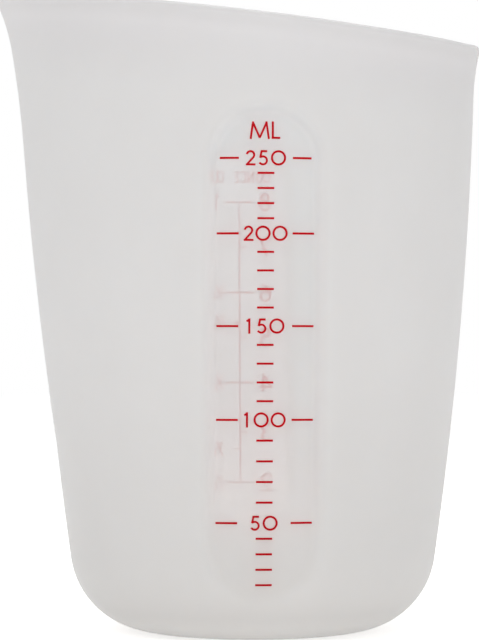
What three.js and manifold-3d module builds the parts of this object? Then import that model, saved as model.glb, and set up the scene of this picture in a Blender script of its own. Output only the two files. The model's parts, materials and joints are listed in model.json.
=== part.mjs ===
// A soft silicone measuring cup with a pouring spout and a printed scale in each of its two windows.
// Millimetres, +Z up. The origin is the middle of the base. The spout points along -X, the
// millilitre window faces -Y, and the window with ounces and parts of a cup faces +Y.

import * as THREE from "three";
import { mergeVertices } from "three/addons/utils/BufferGeometryUtils.js";
import Module from "manifold-3d";

const wasm = await Module();
wasm.setup();

// The moulded wall: a round corner above the base, then a wall that bows slowly outwards
const BODY_RADIUS = 39; // where the bowed wall would come upright
const UPRIGHT_HEIGHT = 115.6; // the height at which it would
const WALL_BOW_RADIUS = 734;
const CORNER_RADIUS = 14.5; // outside
const WALL = 2.5;
const FLOOR = 3;

// The rim: its heights from the spout to the back, at even turns round the cup
const RIM_HEIGHTS = [109.8, 107.8, 105.2, 102.6, 100.75, 100.45, 101.8];
const LIP_FLARE = 1.1; // how far the rim turns out
const LIP_HEIGHT = 9; // the drop below the rim where that begins

// The spout: a keel that grows up the wall, then curls out to the tip
const SPOUT_HALF_ANGLE = 0.56; // radians, to where the wall is round again
const KEEL_START_HEIGHT = 32;
const KEEL_SLOPE = 0.034; // growth outwards for each millimetre of height
const CURL_START_HEIGHT = 84;
const CURL_RADIUS = 147;

// The windows: shallow recesses with round ends, as wide and tall as their scale needs
const RECESS_DEPTH = 0.4;
const SIDE_MARGIN = 1.1; // past the ends of the dashes
const HEADROOM = 8.3; // above the highest mark
const FOOTROOM = 2.5; // below the lowest mark

// The ink, a film that lies just off the window's floor
const INK_FILM = 0.15;
const INK_GAP = 0.1;

// The millilitre scale: measured marks and their heights, with even ticks between them
const MARK_VOLUMES = [10, 50, 100, 150, 200, 250]; // millilitres
const MARK_HEIGHTS = [10.3, 20.45, 37.2, 52.3, 67.15, 79.2];
const TICK_STEP = 10; // millilitres
const NUMBER_STEP = 50; // millilitres
const TICK_LENGTH = 2.7;
const DASH_LENGTH = 3.5;
const TOP_DASH_LENGTH = 3.05; // beside the highest number
const DASH_SPACE = 0.8; // between the widest number and the dashes
const FINE_PEN = 0.34;
const NUMBER_HEIGHT = 2.45;

// The kitchen scale: a ladder with ounces on one side and parts of a cup on the other
const OUNCE_MARKS = [2, 4, 6, 8];
const OUNCE_MARK_HEIGHTS = [23.85, 42.65, 59.75, 77.05];
const OUNCES = [2, 3, 4, 5, 6, 7, 8];
const CUP = 8; // ounces
const SAME_LEVEL = 0.1; // ounces within which two levels share a rung
const CUP_PARTS = [
  [1, 4],
  [1, 3],
  [1, 2],
  [2, 3],
  [3, 4],
];
const LADDER_OFFSET = 0.4; // from the window's middle, towards the parts of a cup
const RAIL_PEN = 0.31;
const RUNG_PEN = 0.37;
const RUNG_HALF_LENGTH = 2.7;
const HALF_RUNG_LENGTH = 1.4; // a rung with a number on one side only
const OUNCE_OFFSET = 4.9; // from the ladder to the middle of the numerals
const OUNCE_HEIGHT = 3.6;
const BOLD_PEN = 0.5;
const CUP_PART_OFFSET = 3.9; // from the ladder to the middle of the fractions
const CUP_PART_HEIGHT = 2.7;
const CUP_PART_PEN = 0.26;
const CUP_PART_DIGIT = 0.5; // a small digit's share of its fraction's height
const SLASH_LEAN = 0.1; // half the slash's run, as a share of that height
const WHOLE_CUP_OFFSET = 4.25; // from the ladder to the middle of the whole cup's figure
const WHOLE_CUP_HEIGHT = 3.3;

// How finely round shapes are divided
const TURN_STEPS = 80;
const CORNER_STEPS = 6;
const WALL_STEPS = 13;
const RIM_STEPS = 6;
const ARC_STEPS = 5;
const ROW_CROWDING = 1.6; // draws the wall's rows together towards the lip

const SILICONE = new THREE.MeshStandardMaterial({
  color: 0xdcdad8,
  roughness: 0.55,
  metalness: 0,
  transparent: true,
  opacity: 0.85,
});
const RED_INK = new THREE.MeshStandardMaterial({ color: 0xb01e2a, roughness: 0.6, metalness: 0 });

// Solids

function solidOf(geometry) {
  const bare = geometry.clone();
  bare.deleteAttribute("normal");
  bare.deleteAttribute("uv");
  const merged = mergeVertices(bare);
  const triangles = [];
  const corners = merged.index.array;
  for (let i = 0; i < corners.length; i += 3) {
    const [a, b, c] = corners.slice(i, i + 3);
    if (a !== b && b !== c && c !== a) triangles.push(a, b, c);
  }
  return new wasm.Manifold(
    new wasm.Mesh({
      numProp: 3,
      vertProperties: merged.getAttribute("position").array,
      triVerts: new Uint32Array(triangles),
    }),
  );
}

function meshOf(name, solid, material) {
  const { vertProperties, triVerts } = solid.getMesh();
  const geometry = new THREE.BufferGeometry();
  geometry.setAttribute("position", new THREE.BufferAttribute(vertProperties, 3));
  geometry.setIndex(new THREE.BufferAttribute(triVerts, 1));
  geometry.computeVertexNormals();
  const mesh = new THREE.Mesh(geometry, material);
  mesh.name = name;
  return mesh;
}

// A round body about Z from a profile of radii and heights.
function turned(profile) {
  const geometry = new THREE.LatheGeometry(profile, TURN_STEPS);
  return geometry.rotateX(Math.PI / 2);
}

// A flat outline, drawn with x to the right and y up, pushed from the cup's axis out through -Y.
function prism(outline, scale = 1, x = 0, height = 0) {
  const reach = 2 * BODY_RADIUS;
  const options = { depth: reach, bevelEnabled: false, curveSegments: 2 * ARC_STEPS };
  const geometry = new THREE.ExtrudeGeometry(outline, options);
  geometry.scale(scale, scale, 1);
  geometry.rotateX(Math.PI / 2);
  return geometry.translate(x, 0, height);
}

// The wall's surfaces

const nominalRim = RIM_HEIGHTS[0];
const rimRadius = WALL / 2;

// The radius at a height of the surface that lies a depth inside the wall's outside.
function wallRadius(height, depth = 0) {
  const bow = WALL_BOW_RADIUS - depth;
  return BODY_RADIUS - WALL_BOW_RADIUS + Math.sqrt(bow ** 2 - (height - UPRIGHT_HEIGHT) ** 2);
}

// The round that joins such a surface to a floor: its middle, and the wall's lean where it ends.
function cornerOf(depth, floor) {
  const radius = CORNER_RADIUS - depth;
  const height = floor + radius;
  const reach = WALL_BOW_RADIUS - depth - radius;
  const lean = Math.asin((UPRIGHT_HEIGHT - height) / reach);
  const middle = BODY_RADIUS - WALL_BOW_RADIUS + reach * Math.cos(lean);
  return { radius, height, lean, middle, top: height - radius * Math.sin(lean) };
}

// Points up such a surface, from the edge of its floor to a top.
function skinPoints(depth, floor, top) {
  const corner = cornerOf(depth, floor);
  const points = [];
  for (let i = 0; i <= CORNER_STEPS; i++) {
    const turn = (i / CORNER_STEPS) * (Math.PI / 2 - corner.lean);
    const radius = corner.middle + corner.radius * Math.sin(turn);
    points.push(new THREE.Vector2(radius, corner.height - corner.radius * Math.cos(turn)));
  }
  for (let i = 1; i <= WALL_STEPS; i++) {
    const share = 1 - (1 - i / WALL_STEPS) ** ROW_CROWDING;
    const height = THREE.MathUtils.lerp(corner.top, top, share);
    points.push(new THREE.Vector2(wallRadius(height, depth), height));
  }
  return points;
}

// The cup

const rimCurve = new THREE.CubicInterpolant(
  RIM_HEIGHTS.map((_, i) => (i * Math.PI) / (RIM_HEIGHTS.length - 1)),
  RIM_HEIGHTS,
  1,
);
rimCurve.settings = { endingStart: THREE.ZeroSlopeEnding, endingEnd: THREE.ZeroSlopeEnding };

function spoutReach(angle, height) {
  if (angle > SPOUT_HALF_ANGLE) return 0;
  const keel = KEEL_SLOPE * Math.max(height - KEEL_START_HEIGHT, 0);
  const curl = Math.max(height - CURL_START_HEIGHT, 0) ** 2 / (2 * CURL_RADIUS);
  return (keel + curl) * Math.cos((angle / SPOUT_HALF_ANGLE) * (Math.PI / 2)) ** 2;
}

function lipReach(drop) {
  return LIP_FLARE * Math.max(1 - drop / LIP_HEIGHT, 0) ** 2;
}

function cupProfile() {
  const top = nominalRim - rimRadius;
  const outside = skinPoints(0, 0, top);
  const inside = skinPoints(WALL, FLOOR, top).reverse();
  const rim = [];
  for (let i = 1; i < RIM_STEPS; i++) {
    const turn = (i / RIM_STEPS) * Math.PI;
    const radius = wallRadius(top) - rimRadius + rimRadius * Math.cos(turn);
    rim.push(new THREE.Vector2(radius, top + rimRadius * Math.sin(turn)));
  }
  const base = new THREE.Vector2(0, 0);
  const floor = new THREE.Vector2(0, FLOOR);
  return [base, ...outside, ...rim, ...inside, floor];
}

// Draws the round cup's wall up or down to the rim's own height, and out to the lip and the spout.
function shapeWall(geometry) {
  const cornerTop = cornerOf(0, 0).top;
  const position = geometry.getAttribute("position");
  for (let i = 0; i < position.count; i++) {
    const [x, y, z] = [position.getX(i), position.getY(i), position.getZ(i)];
    const angle = Math.atan2(Math.abs(y), -x); // from the spout
    const rim = rimCurve.evaluate(angle)[0];
    const share = THREE.MathUtils.clamp((z - cornerTop) / (nominalRim - cornerTop), 0, 1);
    const height = z + share * (rim - nominalRim);
    const bow = wallRadius(height) - wallRadius(z);
    const radius = Math.hypot(x, y) + bow + spoutReach(angle, height) + lipReach(rim - height);
    const side = Math.sign(y);
    position.setXYZ(i, -radius * Math.cos(angle), side * radius * Math.sin(angle), height);
  }
  return geometry;
}

// The scales' layout

// The height of a level, from the measured marks on either side of it, or from the last two.
function heightOf(level, marks, heights) {
  const next = marks.findIndex((mark, i) => i > 0 && mark >= level);
  const above = next < 0 ? marks.length - 1 : next;
  const [lowMark, highMark] = marks.slice(above - 1, above + 1);
  const [lowHeight, highHeight] = heights.slice(above - 1, above + 1);
  return THREE.MathUtils.lerp(lowHeight, highHeight, (level - lowMark) / (highMark - lowMark));
}

const volumeHeight = (volume) => heightOf(volume, MARK_VOLUMES, MARK_HEIGHTS);
const ounceHeight = (ounces) => heightOf(ounces, OUNCE_MARKS, OUNCE_MARK_HEIGHTS);
const lowestMark = MARK_VOLUMES[0];
const highestMark = MARK_VOLUMES.at(-1);

// Glyphs are drawn on a baseline at unit height, by strokes of a flat pen.

function stroke(points, pen) {
  const sides = [[], []];
  points.forEach((point, i) => {
    const before = points[Math.max(i - 1, 0)];
    const after = points[Math.min(i + 1, points.length - 1)];
    const along = after.clone().sub(before).normalize();
    const across = new THREE.Vector2(-along.y, along.x).multiplyScalar(pen / 2);
    sides[0].push(point.clone().add(across));
    sides[1].unshift(point.clone().sub(across));
  });
  return new THREE.Shape([...sides[1], ...sides[0]]);
}

function line(pen, x0, y0, x1, y1) {
  return stroke([new THREE.Vector2(x0, y0), new THREE.Vector2(x1, y1)], pen);
}

// A clockwise arc, from one angle in degrees to another, and on to an end point if one is given.
function arc(pen, x, y, radius, from, to, end = []) {
  const [start, stop] = [from, to].map(THREE.MathUtils.degToRad);
  const path = new THREE.Path().absarc(x, y, radius, start, stop, true);
  if (end.length) path.lineTo(...end);
  return stroke(path.getPoints(ARC_STEPS), pen);
}

function ring(pen, x, y, radius) {
  const shape = new THREE.Shape().absarc(x, y, radius, 0, 2 * Math.PI);
  shape.holes.push(new THREE.Path().absarc(x, y, radius - pen, 0, 2 * Math.PI));
  return shape;
}

// Each digit's width, the space that it keeps on its left and right, and its strokes.
const DIGITS = {
  0: { width: 1, space: [0.06, 0.06], draw: (pen) => [ring(pen, 0.5, 0.5, 0.5)] },
  1: {
    width: 0.28,
    space: [0.1, 0.3],
    draw: (pen, width) => [
      line(pen, width - pen / 2, 0, width - pen / 2, 1),
      line(pen, 0.03, 0.8, width - pen / 2, 1 - pen / 2),
    ],
  },
  2: {
    width: 0.64,
    space: [0.06, 0.06],
    draw: (pen, width) => [
      arc(pen, 0.31, 0.69, 0.31 - pen / 2, 170, -38, [pen / 2, pen / 2]),
      line(pen, 0, pen / 2, width, pen / 2),
    ],
  },
  3: {
    width: 0.58,
    space: [0.1, 0.1],
    draw: (pen) => [
      arc(pen, 0.28, 0.74, 0.26 - pen / 2, 150, -90),
      arc(pen, 0.28, 0.3, 0.3 - pen / 2, 90, -150),
    ],
  },
  4: {
    width: 0.66,
    space: [0.06, 0.06],
    draw: (pen, width) => [
      line(pen, 0.48, 1 - pen / 2, pen / 2, 0.26),
      line(pen, 0, 0.26, width, 0.26),
      line(pen, 0.48, 0, 0.48, 1),
    ],
  },
  5: {
    width: 0.62,
    space: [0.13, 0.13],
    draw: (pen) => [
      line(pen, 0.14, 1 - pen / 2, 0.57, 1 - pen / 2),
      line(pen, 0.2, 1 - pen / 2, 0.11, 0.5),
      arc(pen, 0.29, 0.33, 0.33 - pen / 2, 135, -150),
    ],
  },
  6: {
    width: 0.62,
    space: [0.1, 0.1],
    draw: (pen) => [
      ring(pen, 0.31, 0.31, 0.31),
      arc(pen, 0.66 + pen / 2, 0.31, 0.66, 180, 110),
    ],
  },
  7: {
    width: 0.58,
    space: [0.1, 0.1],
    draw: (pen, width) => [
      line(pen, 0, 1 - pen / 2, width, 1 - pen / 2),
      line(pen, width - pen / 2, 1 - pen / 2, 0.2, 0),
    ],
  },
  8: {
    width: 0.6,
    space: [0.1, 0.1],
    draw: (pen) => [ring(pen, 0.3, 0.74, 0.26), ring(pen, 0.3, 0.3, 0.3)],
  },
};

function digitStrokes(digit, pen) {
  const { draw, width } = DIGITS[digit];
  return draw(pen, width);
}

// The digits of a number with the left edge of each, set about x = 0 at unit height.
function setNumber(number) {
  const placed = [];
  let edge = 0;
  for (const digit of String(number)) {
    const { width, space } = DIGITS[digit];
    if (placed.length) edge += space[0];
    placed.push({ digit, left: edge });
    edge += width + space[1];
  }
  const width = edge - DIGITS[placed.at(-1).digit].space[1];
  placed.forEach((place) => (place.left -= width / 2));
  return { placed, width };
}

const volumes = [];
for (let volume = lowestMark; volume <= highestMark; volume += TICK_STEP) volumes.push(volume);
const numbered = volumes.filter((volume) => volume % NUMBER_STEP === 0);
const widestNumber = Math.max(...numbered.map((number) => setNumber(number).width));
const dashStart = (widestNumber * NUMBER_HEIGHT) / 2 + DASH_SPACE;

// Windows and ink

const windowHalfWidth = dashStart + DASH_LENGTH + SIDE_MARGIN;
const windowTop = Math.max(volumeHeight(highestMark), ounceHeight(CUP)) + HEADROOM;
const windowBottom = volumeHeight(lowestMark) - FOOTROOM;

function windowOutline() {
  const outline = new THREE.Shape();
  outline.absarc(0, windowTop - windowHalfWidth, windowHalfWidth, 0, Math.PI);
  outline.absarc(0, windowBottom + windowHalfWidth, windowHalfWidth, Math.PI, 2 * Math.PI);
  return outline;
}

// All that lies deeper in the cup than the windows' floor.
function windowFloor() {
  const skin = skinPoints(RECESS_DEPTH, RECESS_DEPTH, nominalRim);
  const [low, high] = [skin[0].y, skin.at(-1).y];
  return solidOf(turned([new THREE.Vector2(0, low), ...skin, new THREE.Vector2(0, high)]));
}

// The layer that all the ink is cut from.
function inkLayer() {
  const back = RECESS_DEPTH - INK_GAP;
  const face = back - INK_FILM;
  const inner = skinPoints(back, back, nominalRim).reverse();
  const outer = skinPoints(face, face, nominalRim);
  return solidOf(turned([...outer, ...inner, outer[0]]));
}

const layer = inkLayer();

// One ink mark, from strokes at a scale, with their origin at x and a height in the window.
function inkMark(name, strokes, scale = 1, x = 0, height = 0) {
  const [first, ...rest] = strokes.map((shape) => solidOf(prism(shape, scale, x, height)));
  const whole = rest.reduce((sum, next) => sum.add(next), first);
  return meshOf(name, whole.intersect(layer), RED_INK);
}

function cupBody() {
  const floor = windowFloor();
  const outline = prism(windowOutline());
  let body = solidOf(shapeWall(turned(cupProfile())));
  for (const facing of [0, Math.PI]) {
    const recess = solidOf(outline.clone().rotateZ(facing)).subtract(floor);
    body = body.subtract(recess);
  }
  return meshOf("cup_body", body, SILICONE);
}

const PLACES = ["units", "tens", "hundreds"];

function numberedMark(number) {
  const height = volumeHeight(number);
  const { placed } = setNumber(number);
  const marks = placed.map(({ digit, left }, i) => {
    const strokes = digitStrokes(digit, FINE_PEN / NUMBER_HEIGHT);
    const name = `ml_${number}_${PLACES[placed.length - 1 - i]}`;
    return inkMark(name, strokes, NUMBER_HEIGHT, left * NUMBER_HEIGHT, height - NUMBER_HEIGHT / 2);
  });
  const dashEnd = dashStart + (number === highestMark ? TOP_DASH_LENGTH : DASH_LENGTH);
  const left = line(FINE_PEN, -dashEnd, height, -dashStart, height);
  const right = line(FINE_PEN, dashStart, height, dashEnd, height);
  marks.push(inkMark(`ml_${number}_dash_left`, [left]));
  marks.push(inkMark(`ml_${number}_dash_right`, [right]));
  return marks;
}

function millilitreScale() {
  const scale = new THREE.Group();
  for (const volume of volumes) {
    if (numbered.includes(volume)) {
      scale.add(...numberedMark(volume));
      continue;
    }
    const height = volumeHeight(volume);
    const tick = line(FINE_PEN, -TICK_LENGTH / 2, height, TICK_LENGTH / 2, height);
    scale.add(inkMark(`ml_${volume}_tick`, [tick]));
  }
  return scale;
}

// The ladder: whole rungs where an ounce and a part of a cup agree, half rungs at the others.
function ladder() {
  const parts = [...CUP_PARTS.map(([top, bottom]) => (CUP * top) / bottom), CUP]; // in ounces
  const agree = (level, others) => others.some((other) => Math.abs(level - other) < SAME_LEVEL);
  const rung = (level, left, right) => {
    const height = ounceHeight(level);
    return line(RUNG_PEN, LADDER_OFFSET - left, height, LADDER_OFFSET + right, height);
  };
  const rungs = OUNCES.map((ounces) =>
    agree(ounces, parts)
      ? rung(ounces, RUNG_HALF_LENGTH, RUNG_HALF_LENGTH)
      : rung(ounces, HALF_RUNG_LENGTH, 0),
  );
  for (const part of parts) {
    if (!agree(part, OUNCES)) rungs.push(rung(part, 0, HALF_RUNG_LENGTH));
  }
  const [low, high] = [OUNCES[0], OUNCES.at(-1)].map(ounceHeight);
  const rail = line(RAIL_PEN, LADDER_OFFSET, low, LADDER_OFFSET, high);
  return inkMark("kitchen_scale_ladder", [rail, ...rungs]);
}

// A digit over a slash over a digit, joined where they meet, at unit height about x = 0.
function fractionStrokes(top, bottom) {
  const pen = CUP_PART_PEN / CUP_PART_HEIGHT;
  const size = CUP_PART_DIGIT;
  const small = (digit, x, y) =>
    digitStrokes(digit, pen / size).map((shape) => {
      const place = ({ x: u, y: v }) => new THREE.Vector2(x + size * u, y + size * v);
      const { shape: points, holes } = shape.extractPoints(2 * ARC_STEPS);
      const placed = new THREE.Shape(points.map(place));
      placed.holes = holes.map((hole) => new THREE.Path(hole.map(place)));
      return placed;
    });
  const slash = line(pen, -SLASH_LEAN, 0, SLASH_LEAN, 1);
  const over = small(top, pen / 4 - size * DIGITS[top].width, 1 - size);
  const under = small(bottom, -pen / 2, 0);
  return [slash, ...over, ...under];
}

function kitchenScale() {
  const scale = new THREE.Group();
  scale.add(ladder());
  for (const count of OUNCES) {
    const strokes = digitStrokes(count, BOLD_PEN / OUNCE_HEIGHT);
    const x = LADDER_OFFSET - OUNCE_OFFSET - (DIGITS[count].width * OUNCE_HEIGHT) / 2;
    const height = ounceHeight(count) - OUNCE_HEIGHT / 2;
    scale.add(inkMark(`ounce_${count}`, strokes, OUNCE_HEIGHT, x, height));
  }
  const partMiddle = LADDER_OFFSET + CUP_PART_OFFSET;
  for (const [top, bottom] of CUP_PARTS) {
    const strokes = fractionStrokes(top, bottom);
    const low = ounceHeight((CUP * top) / bottom) - CUP_PART_HEIGHT / 2;
    scale.add(inkMark(`cup_${top}_${bottom}`, strokes, CUP_PART_HEIGHT, partMiddle, low));
  }
  const one = digitStrokes(1, BOLD_PEN / WHOLE_CUP_HEIGHT);
  const oneLeft = LADDER_OFFSET + WHOLE_CUP_OFFSET - (DIGITS[1].width * WHOLE_CUP_HEIGHT) / 2;
  const oneLow = ounceHeight(CUP) - WHOLE_CUP_HEIGHT / 2;
  scale.add(inkMark("cup_1", one, WHOLE_CUP_HEIGHT, oneLeft, oneLow));
  scale.rotation.z = Math.PI;
  return scale;
}

const cup = new THREE.Group();
cup.add(cupBody(), millilitreScale(), kitchenScale());

export default cup;
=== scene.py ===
# %% [markdown]
# # A silicone measuring cup
# The cup is one soft moulding with a pouring spout. Each side has a shallow window, and a red scale is
# printed in it: millilitres in front, ounces and parts of a cup at the back. The milky wall lets a little
# light through, so the scale at the back shows faintly from the front.
#
# The solids of the cup come first, as a fixed frame in metres. Everything modelled here keeps to their
# places.

# %% Load the frame
import json
import math

import bpy
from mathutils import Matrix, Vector

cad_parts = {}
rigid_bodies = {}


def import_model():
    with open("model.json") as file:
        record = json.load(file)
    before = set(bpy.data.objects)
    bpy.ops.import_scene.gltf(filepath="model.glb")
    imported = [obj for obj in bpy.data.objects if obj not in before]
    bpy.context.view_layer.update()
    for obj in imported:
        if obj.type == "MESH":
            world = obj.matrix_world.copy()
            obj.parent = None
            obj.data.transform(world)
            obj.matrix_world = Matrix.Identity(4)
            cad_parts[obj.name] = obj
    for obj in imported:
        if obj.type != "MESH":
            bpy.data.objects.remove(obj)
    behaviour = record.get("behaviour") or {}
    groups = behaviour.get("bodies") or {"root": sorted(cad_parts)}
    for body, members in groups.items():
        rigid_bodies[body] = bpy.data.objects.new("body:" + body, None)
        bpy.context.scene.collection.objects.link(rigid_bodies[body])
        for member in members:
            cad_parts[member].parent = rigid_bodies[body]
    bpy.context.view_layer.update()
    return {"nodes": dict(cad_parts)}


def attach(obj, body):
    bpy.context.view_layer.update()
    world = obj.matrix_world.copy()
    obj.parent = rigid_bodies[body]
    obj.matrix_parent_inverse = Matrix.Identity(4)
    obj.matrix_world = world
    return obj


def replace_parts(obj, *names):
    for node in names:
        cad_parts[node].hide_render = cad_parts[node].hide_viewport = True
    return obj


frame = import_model()
print("Nodes in the frame:", len(frame["nodes"]))

# %% [markdown]
# ## The camera
# The photograph is taken with a long lens, level with the middle of the cup and a little to the spout's
# side of it. A camera can be placed by eye, but here its place was worked out: how fast things shrink
# from the front wall to the back wall gives the distance, and the height at which the rim's curve would
# look flat gives the height. The camera is aimed rather than shifted, so that other views stay centred.

# %% Camera
CAMERA_DISTANCE = 0.425  # from the cup's axis
CAMERA_TURN = math.radians(-3.25)  # towards the spout
CAMERA_HEIGHT = 0.0465
AIM_ASIDE = -0.0023  # where the middle of the picture falls, beside the axis
AIM_HEIGHT = 0.0539
LENS = 136.3  # millimetres
NEAR_CLIP = 0.01

bpy.ops.object.select_all(action="DESELECT")
away = Vector((math.sin(CAMERA_TURN), -math.cos(CAMERA_TURN), 0))
aside = Vector((math.cos(CAMERA_TURN), math.sin(CAMERA_TURN), 0))
camera_place = CAMERA_DISTANCE * away + Vector((0, 0, CAMERA_HEIGHT))
aim = AIM_ASIDE * aside + Vector((0, 0, AIM_HEIGHT))
turn = (aim - camera_place).to_track_quat("-Z", "Y").to_euler()
bpy.ops.object.camera_add(location=camera_place, rotation=turn)
camera = bpy.context.object
camera.data.lens = LENS
camera.data.clip_start = NEAR_CLIP
bpy.context.scene.camera = camera
print("Camera at", [round(c, 4) for c in camera_place])

# %% [markdown]
# ## Shader maths
# A material is a net of nodes. Wiring it by hand hides the idea behind the boxes, so a small class wraps
# a socket and takes Python's own operators: `1 - mask` adds a Math node that does just that. Any node
# that isn't plain maths comes from `add`, which sets the node up and then fills its sockets.

# %% Sockets that take Python's operators
class Shade:
    """One output of a node, which sums and products can extend."""

    def __init__(self, socket):
        self.socket = socket

    def calculate(self, operation, first, second):
        return add(self.socket.id_data, "Math", {"operation": operation}, {0: first, 1: second})

    def __add__(self, other):
        return self.calculate("ADD", self, other)

    def __radd__(self, other):
        return self.calculate("ADD", other, self)

    def __sub__(self, other):
        return self.calculate("SUBTRACT", self, other)

    def __rsub__(self, other):
        return self.calculate("SUBTRACT", other, self)

    def __mul__(self, other):
        return self.calculate("MULTIPLY", self, other)

    def __rmul__(self, other):
        return self.calculate("MULTIPLY", other, self)


def add(tree, kind, settings=None, sockets=None, output=0):
    """Adds a node with its settings, fills its sockets with values or links, and returns an output."""
    node = tree.nodes.new("ShaderNode" + kind)
    for name, value in (settings or {}).items():
        setattr(node, name, value)
    for name, value in (sockets or {}).items():
        if isinstance(value, Shade):
            tree.links.new(value.socket, node.inputs[name])
        else:
            node.inputs[name].default_value = value
    return Shade(node.outputs[output]) if node.outputs else node


def new_finish(name):
    """An empty node material."""
    material = bpy.data.materials.new(name)
    material.use_nodes = True
    material.node_tree.nodes.clear()
    return material


# %% [markdown]
# ## The studio
# The cup stands on a pale floor in front of white. Milky silicone takes most of its look from even light
# all round, so the world does most of the work, the floor glows a little, as a light table does, and three
# large soft lamps only shape it. The camera has to see pure white behind the cup. More light would burn the
# cup out, so the world and the floor are white to the camera alone, by Light Path, and the floor still takes
# the cup's shadow.

# %% World
SKY = (0.97, 0.98, 1.0, 1.0)
SKY_STRENGTH = 0.48
WHITE = (1.0, 1.0, 1.0, 1.0)

world = bpy.data.worlds.new("studio")
bpy.context.scene.world = world
world.use_nodes = True
world.node_tree.nodes.clear()


def seen_directly(tree):
    """One for rays that show the background itself, in the picture, in gloss or through glass."""
    camera_ray = add(tree, "LightPath", output="Is Camera Ray")
    glossy_ray = add(tree, "LightPath", output="Is Glossy Ray")
    through_ray = add(tree, "LightPath", output="Is Transmission Ray")
    return camera_ray + glossy_ray + through_ray


sky = add(world.node_tree, "Background", None, {"Color": SKY, "Strength": SKY_STRENGTH})
white = add(world.node_tree, "Background", None, {"Color": WHITE, "Strength": 1.0})
both = add(world.node_tree, "MixShader", None, {0: seen_directly(world.node_tree), 1: sky, 2: white})
add(world.node_tree, "OutputWorld", None, {"Surface": both})
print("World lights the cup at", SKY_STRENGTH)

# %% Floor
FLOOR_SIZE = 6.0
FLOOR_DROP = 0.0002  # keeps the floor's face off the cup's base
FLOOR_COLOUR = (0.90, 0.89, 0.87, 1.0)
FLOOR_GLOW = 0.45  # to the camera
TABLE_GLOW = 0.14  # to the cup, as from a light table

paper = new_finish("pale_paper")
tree = paper.node_tree
lit = add(tree, "BsdfDiffuse", None, {"Color": FLOOR_COLOUR})
brightness = seen_directly(tree) * FLOOR_GLOW + TABLE_GLOW
glow = add(tree, "Emission", None, {"Color": WHITE, "Strength": brightness})
surface = add(tree, "AddShader", None, {0: lit, 1: glow})
add(tree, "OutputMaterial", None, {"Surface": surface})

bpy.ops.mesh.primitive_plane_add(size=FLOOR_SIZE, location=(0, 0, -FLOOR_DROP))
floor = bpy.context.object
floor.name = "floor"
floor.data.materials.append(paper)
print("Floor:", FLOOR_SIZE, "m across")

# %% Lamps
LAMPS = {  # each one's place, size and power
    "key_lamp": ((-0.55, -0.75, 0.85), 0.7, 1.2),
    "fill_lamp": ((0.17, -0.98, 0.1), 0.8, 2.0),
    "top_lamp": ((0.0, 0.15, 0.75), 0.5, 2.35),
}

lamp_target = Vector((0, 0, AIM_HEIGHT))
for name, (place, size, power) in LAMPS.items():
    facing = (lamp_target - Vector(place)).to_track_quat("-Z", "Y").to_euler()
    bpy.ops.object.light_add(type="AREA", location=place, rotation=facing)
    lamp = bpy.context.object
    lamp.name = name
    lamp.data.size = size
    lamp.data.energy = power
print("Lamps:", len(LAMPS))

# %% [markdown]
# ## The wall's shape
# The wall rises from a flat base through a round corner, then bows slowly outwards, as a barrel stave
# does. The rim is not level: it is highest at the spout, dips behind each side and rises a little at the
# back. The spout is a keel that grows up the wall and curls out at its tip. All of that is a handful of
# sizes and four short formulas, shared by the moulding, its windows and the print.

# %% Sizes of the moulding
BODY_RADIUS = 0.039  # where the bowed wall would come upright
UPRIGHT_HEIGHT = 0.1156  # the height at which it would
BOW_RADIUS = 0.734
CORNER_RADIUS = 0.0145
WALL = 0.0025
BASE = 0.003
RIM_HEIGHTS = [0.1098, 0.1078, 0.1052, 0.1026, 0.10075, 0.10045, 0.1018]  # from the spout to the back
LIP_FLARE = 0.0011
LIP_HEIGHT = 0.009
SPOUT_HALF_ANGLE = 0.56
KEEL_START = 0.032
KEEL_SLOPE = 0.034
CURL_START = 0.084
CURL_RADIUS = 0.147

TALLEST = RIM_HEIGHTS[0]
rim_radius = WALL / 2
print("Spout's tip in mm:", 1000 * TALLEST)


# %% Formulas of the wall
def wall_radius(height, depth=0.0):
    """The radius of the bowed wall's surface that lies a depth inside its outside."""
    bow = BOW_RADIUS - depth
    return BODY_RADIUS - BOW_RADIUS + math.sqrt(bow**2 - (height - UPRIGHT_HEIGHT) ** 2)


def corner_of(depth, base):
    """The round at the foot of such a surface: its radius, its middle, and where the wall takes over."""
    radius = CORNER_RADIUS - depth
    height = base + radius
    reach = BOW_RADIUS - depth - radius
    lean = math.asin((UPRIGHT_HEIGHT - height) / reach)
    middle = BODY_RADIUS - BOW_RADIUS + reach * math.cos(lean)
    return radius, middle, height, lean


def skin_radius(height, depth):
    """The radius of that surface at any height above its base, corner and wall alike."""
    radius, middle, centre, lean = corner_of(depth, depth)
    if height >= centre - radius * math.sin(lean):
        return wall_radius(height, depth)
    return middle + math.sqrt(radius**2 - (centre - height) ** 2)


def rim_height(angle):
    """The rim's height at an angle from the spout, on a smooth curve through the measured heights."""
    last = len(RIM_HEIGHTS) - 1
    place = angle / math.pi * last
    step = min(int(place), last - 1)
    share = place - step
    before, start, stop, after = (RIM_HEIGHTS[last - abs(last - abs(step + i))] for i in (-1, 0, 1, 2))
    pull = (stop - before) / 2
    push = (after - start) / 2
    climb = stop - start
    return start + share * (pull + share * (3 * climb - 2 * pull - push + share * (pull + push - 2 * climb)))


def spout_reach(angle, height):
    """How far the spout stands out of the round wall."""
    if angle > SPOUT_HALF_ANGLE:
        return 0.0
    keel = KEEL_SLOPE * max(height - KEEL_START, 0)
    curl = max(height - CURL_START, 0) ** 2 / (2 * CURL_RADIUS)
    return (keel + curl) * math.cos(angle / SPOUT_HALF_ANGLE * math.pi / 2) ** 2


def lip_reach(drop):
    """How far the rim turns out, a drop below its top."""
    return LIP_FLARE * max(1 - drop / LIP_HEIGHT, 0) ** 2


print("Rim heights in mm:", [round(1000 * rim_height(math.radians(a)), 1) for a in range(0, 181, 45)])

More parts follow.
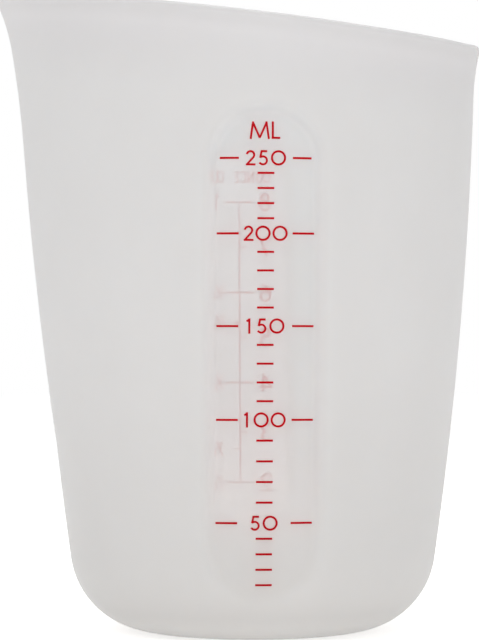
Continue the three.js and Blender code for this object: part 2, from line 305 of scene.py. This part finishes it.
# %% [markdown]
# ## The moulding
# A round cup can be a cylinder with a solid wall, but then its corner, rim and floor need repairs. Here
# half of its cut-through outline is drawn once, by extruding a single vertex from the middle of the base
# up the outside, over the rim and down the inside, and `spin` turns it round the axis. Rows and columns
# are close together where the windows come, and further apart elsewhere, so the mesh stays light.

# %% Outline of the cut-through wall
BASE_STEPS = 6
CORNER_STEPS = 40
INNER_CORNER_STEPS = 16
RIM_STEPS = 10
INNER_STEPS = 36
FINE_ROW = 0.0005
WIDE_ROW = 0.0012
FINE_ROWS_TOP = 0.096


def corner_points(depth, base, steps):
    """Points round the corner of a surface, from its flat base up to its wall."""
    radius, middle, centre, lean = corner_of(depth, base)
    turns = [i / steps * (math.pi / 2 - lean) for i in range(steps + 1)]
    return [(middle + radius * math.sin(t), centre - radius * math.cos(t)) for t in turns]


def wall_points(depth, heights):
    return [(wall_radius(height, depth), height) for height in heights]


def even_steps(start, stop, size):
    """Numbers from after start up to stop, about a size apart."""
    count = math.ceil((stop - start) / size)
    return [start + (stop - start) * (i + 1) / count for i in range(count)]


wall_top = TALLEST - rim_radius
outer_corner = corner_points(0, 0, CORNER_STEPS)
inner_corner = corner_points(WALL, BASE, INNER_CORNER_STEPS)
base_radius = outer_corner[0][0]
floor_radius = inner_corner[0][0]
fine_rows = even_steps(outer_corner[-1][1], FINE_ROWS_TOP, FINE_ROW)
wide_rows = even_steps(FINE_ROWS_TOP, wall_top, WIDE_ROW)
inner_rows = even_steps(inner_corner[-1][1], wall_top, (wall_top - inner_corner[-1][1]) / INNER_STEPS)

outline = [(base_radius * i / BASE_STEPS, 0.0) for i in range(BASE_STEPS)]
outline += outer_corner + wall_points(0, fine_rows + wide_rows)
for i in range(1, RIM_STEPS):
    turn = i / RIM_STEPS * math.pi
    across = wall_radius(wall_top) - rim_radius + rim_radius * math.cos(turn)
    outline.append((across, wall_top + rim_radius * math.sin(turn)))
outline += reversed(inner_corner + wall_points(WALL, inner_rows))
outline += [(floor_radius * (1 - i / BASE_STEPS), BASE) for i in range(1, BASE_STEPS + 1)]
print("Outline:", len(outline), "points")

# %% Spin the outline
WINDOW_SECTOR = math.radians(38)
WINDOW_COLUMNS = 60
PLAIN_COLUMNS = 54
MERGE_DISTANCE = 1e-6


def start_vertex(name, place):
    """A new object in edit mode, with one vertex at a place: a small triangle, merged to a point."""
    bpy.ops.object.select_all(action="DESELECT")
    bpy.ops.mesh.primitive_circle_add(vertices=3, radius=0.001, enter_editmode=True)
    bpy.context.object.name = name
    bpy.ops.mesh.merge(type="CENTER")
    bpy.ops.transform.translate(value=place)
    return bpy.context.object


def extrude_by(step):
    bpy.ops.mesh.extrude_region_move(TRANSFORM_OT_translate={"value": step})


def close_mesh():
    """Joins what meets, turns the faces outwards and goes back to object mode."""
    bpy.ops.mesh.select_all(action="SELECT")
    bpy.ops.mesh.remove_doubles(threshold=MERGE_DISTANCE)
    bpy.ops.mesh.normals_make_consistent(inside=False)
    bpy.ops.object.mode_set(mode="OBJECT")


first_column = WINDOW_SECTOR / 2 - math.pi / 2
direction = Vector((math.cos(first_column), math.sin(first_column), 0))
points = [direction * across + Vector((0, 0, height)) for across, height in outline]
cup = start_vertex("cup_moulding", points[0])
for here, there in zip(points, points[1:]):
    extrude_by(there - here)
bpy.ops.mesh.select_all(action="SELECT")
for sector, columns in [(WINDOW_SECTOR, WINDOW_COLUMNS), (math.pi - WINDOW_SECTOR, PLAIN_COLUMNS)] * 2:
    bpy.ops.mesh.spin(steps=columns, angle=sector, center=(0, 0, 0), axis=(0, 0, 1))
close_mesh()
print("Moulding:", len(cup.data.polygons), "faces")

# %% [markdown]
# ## The rim, the lip and the spout
# Spinning gives a round cup with a level rim. The real rim rises to the spout, so each vertex of the wall
# is drawn up or down in proportion to its height, and then out by the lip and the spout. A lattice or
# proportional editing would do the same by eye. The formulas do it exactly, and keep the wall's thickness.

# %% Draw the wall to its rim and spout
radius, _, centre, lean = corner_of(0, 0)
corner_top = centre - radius * math.sin(lean)
rim_drop = cup.data.attributes.new("rim_drop", "FLOAT", "POINT")
for vertex in cup.data.vertices:
    x, y, z = vertex.co
    angle = math.atan2(abs(y), -x)  # from the spout
    rim = rim_height(angle)
    share = min(max((z - corner_top) / (TALLEST - corner_top), 0), 1)
    height = z + share * (rim - TALLEST)
    reach = wall_radius(height) - wall_radius(z) + spout_reach(angle, height) + lip_reach(rim - height)
    outwards = Vector((-math.cos(angle), math.copysign(math.sin(angle), y), 0))
    vertex.co = (math.hypot(x, y) + reach) * outwards + Vector((0, 0, height))
    rim_drop.data[vertex.index].value = rim - height
cup.data.update()
bpy.context.view_layer.update()
print("Cup's size in mm:", [round(1000 * d, 1) for d in cup.dimensions])

# %% [markdown]
# ## The windows
# Each scale lies in a recess less than a millimetre deep, with round ends and soft moulded edges. A boolean
# cut would leave ragged faces on the curved wall, and its edges would need a bevel that such faces resist.
# The mesh is fine enough here to press the recess in instead: each vertex of the outside sinks along its
# normal, by a ramp that runs smoothly across the window's edge.

# %% Press the windows in
RECESS_DEPTH = 0.0003
WINDOW_HALF_WIDTH = 0.00893
WINDOW_BOTTOM = 0.0078
WINDOW_TOP = 0.0875
WINDOW_EDGE = 0.0018  # the width of the soft edge


def smooth_ramp(value):
    """Nought to one, with no corner at either end."""
    share = min(max(value, 0), 1)
    return share * share * (3 - 2 * share)


def past_window(x, z):
    """How far a point lies outside a window's outline."""
    low = WINDOW_BOTTOM + WINDOW_HALF_WIDTH
    high = WINDOW_TOP - WINDOW_HALF_WIDTH
    return math.hypot(x, z - min(max(z, low), high)) - WINDOW_HALF_WIDTH


sunk = []
for vertex in cup.data.vertices:
    x, y, z = vertex.co
    depth = RECESS_DEPTH * smooth_ramp(0.5 - past_window(x, z) / WINDOW_EDGE)
    faces_out = vertex.normal.x * x + vertex.normal.y * y > 0
    if depth > 0 and faces_out and z > WINDOW_BOTTOM - WINDOW_EDGE:
        sunk.append((vertex, vertex.co - depth * vertex.normal))
for vertex, place in sunk:
    vertex.co = place
cup.data.update()
bpy.ops.object.shade_smooth()
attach(cup, "root")
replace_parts(cup, "cup_body")
print("Window vertices pressed in:", len(sunk))

# %% [markdown]
# ## The silicone
# Milky silicone scatters light inside itself, so its shadows are soft and pale, and thin places let some
# of what lies behind show. Glass would be too clear and paint too dead. Subsurface scattering gives the
# glow, and Alpha, lower in the windows where the wall is thinner, lets the far scale through. A window's
# far face is left clear, so that each wall counts once. The outside and the inside are lit so differently
# that each has a finish of its own, from one function, with painted light and shade in its colour: the
# inside is painted lighter, the rim's tones are painted shade that follows the drop below the rim, the low
# wall has painted shade and the foot painted light, and the windows and the wall beside them carry painted
# shade, painted light and a painted red light from the print.

# %% Tones of the silicone
SILICONE = (0.855, 0.836, 0.825, 1.0)
# painted shade: the wall darkens towards the rim, most of all on its round top
BELOW_RIM_PAINTED_SHADE = (0.81, 0.79, 0.795, 1.0)
RIM_TOP_PAINTED_SHADE = (0.66, 0.65, 0.655, 1.0)
RIM_EDGE_PAINTED_SHADE = (0.565, 0.555, 0.56, 1.0)
# painted shade low on the wall, and painted light at the very foot against the floor's shadow
LOW_WALL_PAINTED_SHADE = (0.757, 0.746, 0.735, 1.0)
FOOT_PAINTED_LIGHT = (0.94, 0.92, 0.9, 1.0)
# painted light: the inside is lighter than the outside, against the shade within the cup
SILICONE_INSIDE_PAINTED_LIGHT = (0.965, 0.95, 0.935, 1.0)
# painted light at the foot, then painted shade that fades up the wall into the plain tone
FOOT_LIGHT_AND_SHADE_BANDS = [  # what is measured, where a tone begins, where it is full, and the tone
    ("up", 0.0, 0.005, LOW_WALL_PAINTED_SHADE),
    ("up", 0.004, 0.06, SILICONE),
]
# painted shade near the rim, by the drop below it
PAINTED_RIM_SHADE_BANDS = [
    ("drop", 0.016, 0.003, BELOW_RIM_PAINTED_SHADE),
    ("drop", 0.004, 0.0, RIM_TOP_PAINTED_SHADE),
    ("drop", 0.0012, 0.0, RIM_EDGE_PAINTED_SHADE),
]
print("Bands of tone:", len(FOOT_LIGHT_AND_SHADE_BANDS + PAINTED_RIM_SHADE_BANDS))


# %% Masks on the moulding
def rise(tree, value, start, stop):
    """Nought to one as a value goes from start to stop, with soft ends."""
    return add(tree, "MapRange", {"interpolation_type": "SMOOTHSTEP"}, {"Value": value, 1: start, 2: stop})


def window_span(tree, across, up):
    """The distance from a window's middle line, which ends half a width short of the window's ends."""
    low = WINDOW_BOTTOM + WINDOW_HALF_WIDTH
    high = WINDOW_TOP - WINDOW_HALF_WIDTH
    past_ends = up - add(tree, "Clamp", None, {"Value": up, "Min": low, "Max": high})
    return add(tree, "Math", {"operation": "SQRT"}, {0: across * across + past_ends * past_ends})


window_size = (2 * WINDOW_HALF_WIDTH, WINDOW_TOP - WINDOW_BOTTOM)
print("Windows in mm:", [round(1000 * side, 1) for side in window_size])

# %% Silicone finish
WALL_ALPHA = 0.97
CLOUD_SCALE = 45.0
GRAIN_SCALE = 2600.0
MOTTLE = 0.015
CLEAR_START = 0.012  # the windows turn see-through between these heights, above the cup's floor
CLEAR_FULL = 0.032
WINDOW_FOOT_PAINTED_SHADE = 0.075  # painted shade: how much darker they are below
SHADE_LOW = 0.03  # their painted light and shade goes from low to high between these heights
SHADE_HIGH = 0.085
PAINTED_PRINT_RED_LIGHT = 0.08  # painted red light, which the print lets through into them
PRINT_RED_LIGHT_FADE = 0.07  # it fades between these heights
PRINT_RED_LIGHT_END = 0.09
BESIDE_REACH = 0.02  # how far from a window's middle line the wall is painted a little darker, as painted shade
BESIDE_WINDOW_PAINTED_SHADE = 0.03


def silicone_finish(name, tone, tone_bands, window_painted_shades, window_alpha):
    """Milky silicone in bands of tone, with painted light and shade. The windows have two painted shades,
    low and high, and their own alpha.
    """
    material = new_finish(name)
    tree = material.node_tree
    place = add(tree, "TexCoord", output="Object")
    across = add(tree, "SeparateXYZ", None, {0: place}, output="X")
    up = add(tree, "SeparateXYZ", None, {0: place}, output="Z")
    drop = add(tree, "Attribute", {"attribute_name": "rim_drop"}, output="Fac")
    cloud_sizes = {"Vector": place, "Scale": CLOUD_SCALE, "Detail": 3.0, "Roughness": 0.55}
    cloud = add(tree, "TexNoise", None, cloud_sizes)
    grain = add(tree, "TexNoise", None, {"Vector": place, "Scale": GRAIN_SCALE, "Detail": 2.0})
    span = window_span(tree, across, up)
    clear = rise(tree, span, WINDOW_HALF_WIDTH + WINDOW_EDGE, WINDOW_HALF_WIDTH - WINDOW_EDGE)
    see_through = rise(tree, up, CLEAR_START, CLEAR_FULL)
    # painted shade on the wall beside each window
    beside = (rise(tree, span, BESIDE_REACH, WINDOW_HALF_WIDTH) - clear) * see_through

    for measure, start, stop, next_tone in tone_bands:
        share = rise(tree, {"up": up, "drop": drop}[measure], start, stop)
        tone = add(tree, "Mix", {"data_type": "RGBA"}, {0: share, 6: tone, 7: next_tone}, output=2)
    mottle = add(tree, "MapRange", None, {"Value": cloud, 1: 0.3, 2: 0.7, 3: 1 - MOTTLE, 4: 1 + MOTTLE})
    low, high = window_painted_shades
    shade = add(tree, "MapRange", None, {"Value": up, 1: SHADE_LOW, 2: SHADE_HIGH, 3: low, 4: high})
    # painted light and shade in the windows
    window_shade = clear * (WINDOW_FOOT_PAINTED_SHADE + see_through * (shade - WINDOW_FOOT_PAINTED_SHADE))
    lightness = mottle - window_shade - beside * BESIDE_WINDOW_PAINTED_SHADE
    # painted red light from the print, between the scale's ends
    print_glow = clear * (see_through - rise(tree, up, PRINT_RED_LIGHT_FADE, PRINT_RED_LIGHT_END)) * PAINTED_PRINT_RED_LIGHT
    reddened = lightness - print_glow
    tint = add(tree, "CombineColor", None, {0: lightness, 1: reddened, 2: reddened})
    tinted = {"data_type": "RGBA", "blend_type": "MULTIPLY"}
    colour = add(tree, "Mix", tinted, {0: 1.0, 6: tone, 7: tint}, output=2)

    behind = add(tree, "NewGeometry", output="Backfacing")
    alpha = (WALL_ALPHA - clear * see_through * (WALL_ALPHA - window_alpha)) * (1 - behind * clear)
    bump = add(tree, "Bump", None, {"Strength": 0.12, "Distance": 0.00006, "Height": grain}, output="Normal")
    shader = add(
        tree,
        "BsdfPrincipled",
        None,
        {
            "Base Color": colour,
            "Roughness": 0.46 + grain * 0.12,
            "Alpha": alpha,
            "Normal": bump,
            "IOR": 1.41,
            "Specular IOR Level": 0.35,
            "Subsurface Weight": 1.0,
            "Subsurface Radius": (1.0, 0.95, 0.9),
            "Subsurface Scale": 0.008,
        },
    )
    add(tree, "OutputMaterial", None, {"Surface": shader})
    return material


# %% Dress the moulding
OUTSIDE_WINDOW_PAINTED_SHADES = (-0.13, -0.2)  # painted light: below nought, a window is lighter than the wall
OUTSIDE_ALPHA = 0.6
# painted shade in the inside windows, against the light that comes through them
INSIDE_WINDOW_PAINTED_SHADES = (0.5, 0.39)
INSIDE_ALPHA = 0.62

all_bands = FOOT_LIGHT_AND_SHADE_BANDS + PAINTED_RIM_SHADE_BANDS
outside = silicone_finish("silicone_outside", FOOT_PAINTED_LIGHT, all_bands, OUTSIDE_WINDOW_PAINTED_SHADES, OUTSIDE_ALPHA)
inside = silicone_finish("silicone_inside", SILICONE_INSIDE_PAINTED_LIGHT, PAINTED_RIM_SHADE_BANDS, INSIDE_WINDOW_PAINTED_SHADES, INSIDE_ALPHA)
cup.data.materials.clear()
cup.data.materials.append(outside)
cup.data.materials.append(inside)
cup_middle = Vector((0, 0, UPRIGHT_HEIGHT / 2))
for face in cup.data.polygons:
    face.material_index = int(face.normal.dot(cup_middle - face.center) > 0)
print("Inside faces:", sum(face.material_index for face in cup.data.polygons))
print("Light through both walls:", round((1 - OUTSIDE_ALPHA) * (1 - INSIDE_ALPHA), 2))

# %% [markdown]
# ## Figures and letters
# The scales are printed in strokes of one width, so a font isn't needed: each figure is a few straight bars
# and parts of a ring, drawn flat and one unit tall. A bar is a stretched cube. A part of a ring is the edge
# of a small square that `spin` carries round. Each new stroke is united with those before it, and a hair
# thinner, as a union is at its weakest where two faces lie in one plane.

# %% Pen strokes
PEN = 0.139  # the width of a stroke, to the height of a figure
SLIM_PEN = 0.122  # for M and L
half = PEN / 2
THINNER = 0.02  # each stroke's loss of width, to the one before it
ARC_STEP = 7.5  # degrees


def bar(pen, x0, y0, x1, y1):
    """A straight stroke between two points."""
    place = ((x0 + x1) / 2, (y0 + y1) / 2, 0)
    heading = math.atan2(y1 - y0, x1 - x0)
    size = (math.hypot(x1 - x0, y1 - y0), pen, pen)
    bpy.ops.mesh.primitive_cube_add(size=1, location=place, rotation=(0, 0, heading), scale=size)


def arc(pen, x, y, radius, start, sweep):
    """A round stroke about a middle, clockwise from an angle in degrees. A full sweep makes a ring."""
    turn = math.radians(start)
    place = (x + radius * math.cos(turn), y + radius * math.sin(turn), 0)
    bpy.ops.mesh.primitive_plane_add(size=pen, location=place, rotation=(math.pi / 2, 0, turn))
    bpy.ops.mesh.delete(type="ONLY_FACE")
    bpy.ops.mesh.select_loose()
    steps = round(sweep / ARC_STEP)
    bpy.ops.mesh.spin(steps=steps, angle=math.radians(sweep), center=(x, y, 0), axis=(0, 0, 1))
    bpy.ops.mesh.select_linked()
    bpy.ops.mesh.remove_doubles(threshold=pen / 1000)
    bpy.ops.mesh.fill_holes(sides=4)
    bpy.ops.mesh.select_linked()


def draw_figure(name, pen, strokes):
    """A flat figure of united strokes, to be copied."""
    bpy.ops.object.select_all(action="DESELECT")
    bpy.ops.mesh.primitive_cube_add(enter_editmode=True)
    bpy.context.object.name = name
    bpy.ops.mesh.delete(type="VERT")
    bpy.ops.mesh.select_mode(type="EDGE")
    for i, (stroke, *sizes) in enumerate(strokes):
        bpy.ops.mesh.select_all(action="DESELECT")
        stroke(pen * (1 - THINNER * i), *sizes)
        bpy.ops.mesh.normals_make_consistent(inside=False)
        if i > 0:
            bpy.ops.mesh.intersect_boolean(operation="UNION", solver="EXACT")
    bpy.ops.object.mode_set(mode="OBJECT")
    return bpy.context.object, pen


print("A stroke is", PEN, "of a figure's height")

# %% Draw each figure once
STROKES = {
    "0": [(arc, 0.5, 0.5, 0.5 - half, 0, 360)],
    "1": [(bar, 0.28 - half, 0, 0.28 - half, 1), (bar, 0.03, 0.8, 0.28 - half, 1 - half)],
    "2": [
        (arc, 0.31, 0.69, 0.31 - half, 170, 208),
        (bar, 0.5, 0.542, half, half),
        (bar, 0, half, 0.64, half),
    ],
    "3": [(arc, 0.28, 0.74, 0.26 - half, 150, 240), (arc, 0.28, 0.3, 0.3 - half, 90, 240)],
    "4": [(bar, 0.48, 1 - half, half, 0.26), (bar, 0, 0.26, 0.66, 0.26), (bar, 0.48, 0, 0.48, 1)],
    "5": [
        (bar, 0.14, 1 - half, 0.57, 1 - half),
        (bar, 0.2, 1 - half, 0.11, 0.5),
        (arc, 0.29, 0.33, 0.33 - half, 135, 285),
    ],
    "6": [(arc, 0.31, 0.31, 0.31 - half, 0, 360), (arc, 0.66 + half, 0.31, 0.66, 180, 70)],
    "7": [(bar, 0, 1 - half, 0.58, 1 - half), (bar, 0.58 - half, 1 - half, 0.2, 0.02)],
    "8": [(arc, 0.3, 0.74, 0.26 - half, 0, 360), (arc, 0.3, 0.3, 0.3 - half, 0, 360)],
    "/": [(bar, 0.05, 0, 0.45, 1)],
    "M": [
        (bar, 0.07, 0, 0.21, 1),
        (bar, 0.21, 1 - half, 0.59, half),
        (bar, 0.59, half, 0.97, 1 - half),
        (bar, 0.97, 1, 1.11, 0),
    ],
    "L": [(bar, half, 0.02, half, 1), (bar, 0, half, 0.5, half)],
    "O": [
        (arc, 0.285, 0.715, 0.285 - half, 180, 180),
        (arc, 0.285, 0.285, 0.285 - half, 0, 180),
        (bar, half, 0.26, half, 0.74),
        (bar, 0.57 - half, 0.26, 0.57 - half, 0.74),
    ],
    "U": [
        (arc, 0.25, 0.25, 0.25 - half, 0, 180),
        (bar, half, 0.23, half, 1),
        (bar, 0.5 - half, 0.23, 0.5 - half, 1),
    ],
    "N": [
        (bar, half, 0, half, 1),
        (bar, 0.55 - half, 0, 0.55 - half, 1),
        (bar, half, 1 - half, 0.55 - half, half),
    ],
    "C": [
        (arc, 0.25, 0.75, 0.25 - half, 180, 160),
        (arc, 0.25, 0.25, 0.25 - half, -20, 160),
        (bar, half, 0.23, half, 0.77),
    ],
    "E": [
        (bar, half, 0.02, half, 0.98),
        (bar, 0.01, half, 0.36, half),
        (bar, half, 0.5, 0.34, 0.5),
        (bar, 0.01, 1 - half, 0.36, 1 - half),
    ],
    "P": [
        (bar, half, 0, half, 1),
        (arc, 0.24, 0.73, 0.2, 90, 180),
        (bar, half, 0.93, 0.26, 0.93),
        (bar, half, 0.53, 0.26, 0.53),
    ],
}
WIDTHS = {"0": 1.0, "1": 0.28, "2": 0.64, "3": 0.58, "4": 0.66, "5": 0.62, "6": 0.62, "7": 0.58, "8": 0.6}
SPACES = {"0": (0.06, 0.06), "1": (0.1, 0.3), "2": (0.06, 0.06), "5": (0.13, 0.13)}  # to the left and right

pens = {name: SLIM_PEN if name in "ML" else PEN for name in STROKES}
figures = {name: draw_figure("figure_" + name, pens[name], strokes) for name, strokes in STROKES.items()}
print("Figures drawn:", len(figures))

# %% [markdown]
# ## Ink on the wall
# Pad printing presses a soft pad against the wall, and the flat drawing follows its curve. The same is done
# here: a copy of a figure is scaled to its height, cut into narrow columns so that it can bend, and each of
# its vertices is moved to the window's floor, at its own height and distance from the middle.

# %% Lay figures on the window's floor
INK_FILM = 0.00008
INK_LIFT = 0.00001  # keeps the ink's back off the silicone
COLUMN = 0.0006
ROW = 0.003
FRONT = -1
BACK = 1


def copy_figure(name, left, low, size=1.0):
    """A copy with its own mesh and its lower left corner at a place in the flat drawing of a window."""
    figure, pen = figures[name]
    bpy.ops.object.select_all(action="DESELECT")
    figure.select_set(True)
    bpy.context.view_layer.objects.active = figure
    bpy.ops.object.duplicate()
    copy = bpy.context.object
    copy.location = (left, low, 0)
    copy.scale = (size, size, INK_FILM / pen)
    bpy.ops.object.transform_apply()
    return copy


def cut_every(step, axis, low, high):
    """Cuts the selected mesh by planes a step apart."""
    normal = [float(i == axis) for i in range(3)]
    for i in range(math.ceil(low / step), math.ceil(high / step)):
        bpy.ops.mesh.select_all(action="SELECT")
        bpy.ops.mesh.bisect(plane_co=[i * step * part for part in normal], plane_no=normal)


def lay_ink(name, copies, side):
    """Joins flat figures to one piece of print and bends it onto a window's floor."""
    bpy.ops.object.select_all(action="DESELECT")
    for copy in copies:
        copy.select_set(True)
    bpy.context.view_layer.objects.active = copies[0]
    if len(copies) > 1:
        bpy.ops.object.join()
    piece = bpy.context.object
    piece.name = name
    flat = [vertex.co.copy() for vertex in piece.data.vertices]
    bpy.ops.object.mode_set(mode="EDIT")
    cut_every(COLUMN, 0, min(place.x for place in flat), max(place.x for place in flat))
    cut_every(ROW, 1, min(place.y for place in flat), max(place.y for place in flat))
    bpy.ops.object.mode_set(mode="OBJECT")
    for vertex in piece.data.vertices:
        x, height, lift = vertex.co
        radius = skin_radius(height, RECESS_DEPTH - INK_LIFT - INK_FILM / 2 - lift)
        vertex.co = (-side * x, side * math.sqrt(radius**2 - x**2), height)
    piece.data.update()
    piece.data.materials.clear()
    piece.data.materials.append(ink)
    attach(piece, "root")
    return piece


def lay_mark(node, copies, side):
    """A piece of print in the place of a solid of the frame."""
    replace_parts(lay_ink(node + "_print", copies, side), node)


print("Ink film in mm:", 1000 * INK_FILM)

# %% [markdown]
# ## The ink
# The ink is a thin red film, a little uneven in density. Paint alone would look black from within the cup,
# where the light comes from behind it. So the film is mixed with a Translucent shader, which lets light
# through in red, and the scale at the back stays red when it is seen through both walls.

# %% Ink finish
INK_RED = (0.42, 0.005, 0.017, 1.0)
INK_DEEP = (0.36, 0.004, 0.014, 1.0)
INK_GLOW = (1.0, 0.03, 0.06, 1.0)
SEE_THROUGH = 0.65
DENSITY_SCALE = 900.0
SPECKLE_SCALE = 5000.0

ink = new_finish("red_ink")
tree = ink.node_tree
place = add(tree, "TexCoord", output="Object")
density = add(tree, "TexNoise", None, {"Vector": place, "Scale": DENSITY_SCALE, "Detail": 3.0})
speckle = add(tree, "TexNoise", None, {"Vector": place, "Scale": SPECKLE_SCALE, "Detail": 2.0})
red = add(tree, "Mix", {"data_type": "RGBA"}, {"Factor": density, 6: INK_RED, 7: INK_DEEP}, output=2)
bump = add(tree, "Bump", None, {"Strength": 0.2, "Distance": 0.00002, "Height": speckle}, output="Normal")
film = add(
    tree,
    "BsdfPrincipled",
    None,
    {"Base Color": red, "Roughness": 0.42 + speckle * 0.2, "Normal": bump, "Specular IOR Level": 0.15},
)
lit_through = add(tree, "BsdfTranslucent", None, {"Color": INK_GLOW})
both = add(tree, "MixShader", None, {0: SEE_THROUGH, 1: film, 2: lit_through})
add(tree, "OutputMaterial", None, {"Surface": both})
print("Ink nodes:", len(tree.nodes))

# %% [markdown]
# ## The millilitre scale
# The front scale has a line for every 10 ml. Every fifth is a number with a dash on each side. The heights
# were measured at six lines, and those between them are evenly spaced.

# %% Millilitres
TICK_STEP = 10  # millilitres
NUMBER_STEP = 50
MARK_VOLUMES = [10, 50, 100, 150, 200, 250]
MARK_HEIGHTS = [0.0103, 0.02045, 0.0372, 0.0523, 0.06715, 0.0792]
FINE_PEN = 0.00034
NUMBER_HEIGHT = 0.00245
TICK_LENGTH = 0.0027
DASH_START = 0.00433
DASH_LENGTH = 0.0035
TOP_DASH_LENGTH = 0.00305
PLACES = ["units", "tens", "hundreds"]


def height_of(level, marks, heights):
    """A level's height, between the measured marks on either side of it."""
    above = next(i for i in range(1, len(marks)) if marks[i] >= level)
    start, stop = marks[above - 1], marks[above]
    low, high = heights[above - 1], heights[above]
    return low + (high - low) * (level - start) / (stop - start)


def left_edges(number):
    """The left edge of each digit of a number set about nought, to its height."""
    edges = []
    edge = 0.0
    for digit in number:
        before, after = SPACES[digit]
        edges.append(edge + before * bool(edges))
        edge = edges[-1] + WIDTHS[digit] + after
    width = edges[-1] + WIDTHS[number[-1]]
    return [left - width / 2 for left in edges]


figures["tick"] = draw_figure("figure_tick", FINE_PEN, [(bar, -TICK_LENGTH / 2, 0, TICK_LENGTH / 2, 0)])
figures["dash"] = draw_figure("figure_dash", FINE_PEN, [(bar, 0, 0, DASH_LENGTH, 0)])
figures["top_dash"] = draw_figure("figure_top_dash", FINE_PEN, [(bar, 0, 0, TOP_DASH_LENGTH, 0)])

full = MARK_VOLUMES[-1]
for volume in range(TICK_STEP, full + 1, TICK_STEP):
    height = height_of(volume, MARK_VOLUMES, MARK_HEIGHTS)
    if volume % NUMBER_STEP:
        lay_mark(f"ml_{volume}_tick", [copy_figure("tick", 0, height)], FRONT)
        continue
    number = str(volume)
    low = height - NUMBER_HEIGHT / 2
    for i, left in enumerate(left_edges(number)):
        digit = copy_figure(number[i], left * NUMBER_HEIGHT, low, NUMBER_HEIGHT)
        lay_mark(f"ml_{volume}_{PLACES[len(number) - 1 - i]}", [digit], FRONT)
    dash, length = ("top_dash", TOP_DASH_LENGTH) if volume == full else ("dash", DASH_LENGTH)
    lay_mark(f"ml_{volume}_dash_left", [copy_figure(dash, -DASH_START - length, height)], FRONT)
    lay_mark(f"ml_{volume}_dash_right", [copy_figure(dash, DASH_START, height)], FRONT)
print("Millilitre marks laid")

# %% [markdown]
# ## The kitchen scale
# The back scale is a ladder. Ounces stand on its left and parts of a cup on its right, and a rung crosses it
# where the two agree. Eight ounces make a cup, so even ounces meet quarters, and the thirds fall between.
# The four whole rungs were measured through the walls, and the other levels are even between them.

# %% Ounces and parts of a cup
OUNCE_MARKS = [2, 4, 6, 8]
OUNCE_MARK_HEIGHTS = [0.02385, 0.04265, 0.05975, 0.07705]
CUP = 8  # ounces
LADDER = 0.0004  # from the window's middle
LADDER_PEN = 0.00038  # at its first rung
RUNG = 0.0027
HALF_RUNG = 0.0014
OUNCE_OFFSET = 0.0049  # from the ladder to the middle of the numerals
OUNCE_HEIGHT = 0.0036
PART_OFFSET = 0.0039
PART_HEIGHT = 0.0027
PART_DIGIT = 0.0015
PART_GAP = 0.0002
PARTS = [(1, 4), (1, 3), (1, 2), (2, 3), (3, 4)]
SLASH_MIDDLE = 0.25  # of its height
CUP_OFFSET = 0.00425
CUP_HEIGHT = 0.0033


def ounce_height(ounces):
    return height_of(ounces, OUNCE_MARKS, OUNCE_MARK_HEIGHTS)


rungs = [(count, RUNG, RUNG) for count in OUNCE_MARKS]
rungs += [(count, HALF_RUNG, 0.0) for count in (3, 5, 7)]
rungs += [(CUP * thirds / 3, 0.0, HALF_RUNG) for thirds in (1, 2)]
strokes = []
for level, left, right in rungs:
    height = ounce_height(level)
    strokes.append((bar, LADDER - left, height, LADDER + right, height))
strokes.append((bar, LADDER, ounce_height(OUNCE_MARKS[0]), LADDER, ounce_height(CUP)))
figures["ladder"] = draw_figure("figure_ladder", LADDER_PEN, strokes)
lay_mark("kitchen_scale_ladder", [copy_figure("ladder", 0, 0)], BACK)

for count in range(OUNCE_MARKS[0], CUP + 1):
    left = LADDER - OUNCE_OFFSET - WIDTHS[str(count)] * OUNCE_HEIGHT / 2
    low = ounce_height(count) - OUNCE_HEIGHT / 2
    lay_mark(f"ounce_{count}", [copy_figure(str(count), left, low, OUNCE_HEIGHT)], BACK)

middle = LADDER + PART_OFFSET
for top, bottom in PARTS:
    low = ounce_height(CUP * top / bottom) - PART_HEIGHT / 2
    left = middle - PART_GAP - WIDTHS[str(top)] * PART_DIGIT
    over = copy_figure(str(top), left, low + PART_HEIGHT - PART_DIGIT, PART_DIGIT)
    slash = copy_figure("/", middle - SLASH_MIDDLE * PART_HEIGHT, low, PART_HEIGHT)
    under = copy_figure(str(bottom), middle + PART_GAP, low, PART_DIGIT)
    lay_mark(f"cup_{top}_{bottom}", [over, slash, under], BACK)
left = LADDER + CUP_OFFSET - WIDTHS["1"] / 2 * CUP_HEIGHT
low = ounce_height(CUP) - CUP_HEIGHT / 2
lay_mark("cup_1", [copy_figure("1", left, low, CUP_HEIGHT)], BACK)
print("Kitchen marks laid")

# %% [markdown]
# ## The unit words
# A word stands over each scale to say what it counts. The solids leave the lettering out, so these pieces
# replace nothing. Their letters are placed one by one, as far apart as in the photograph.

# %% Words
WORD_HEIGHT = 0.0028
WORD_LOW = 0.0822
BACK_WORD_HEIGHT = 0.0024
BACK_WORD_LOW = 0.0807
ML_LETTERS = [("M", -0.00266), ("L", 0.00089)]  # each one and its left edge
OUNCE_LETTERS = [("O", -0.00556), ("U", -0.00406), ("N", -0.00245), ("C", -0.00092), ("E", 0.00052)]
CUP_LETTERS = [("C", 0.00334), ("U", 0.0044), ("P", 0.0056)]


def lay_word(name, letters, low, size, side):
    """A word from letters and their left edges."""
    lay_ink(name, [copy_figure(letter, left, low, size) for letter, left in letters], side)


lay_word("word_ml", ML_LETTERS, WORD_LOW, WORD_HEIGHT, FRONT)
lay_word("word_ounce", OUNCE_LETTERS, BACK_WORD_LOW, BACK_WORD_HEIGHT, BACK)
lay_word("word_cup", CUP_LETTERS, BACK_WORD_LOW, BACK_WORD_HEIGHT, BACK)

bpy.ops.object.select_all(action="DESELECT")
for figure, pen in figures.values():
    figure.select_set(True)
bpy.ops.object.delete()
print("Words: 3")

# %% [markdown]
# ## Finish
# The colours are shown with the Standard view transform.

# %% Finish
bpy.context.scene.view_settings.view_transform = "Standard"
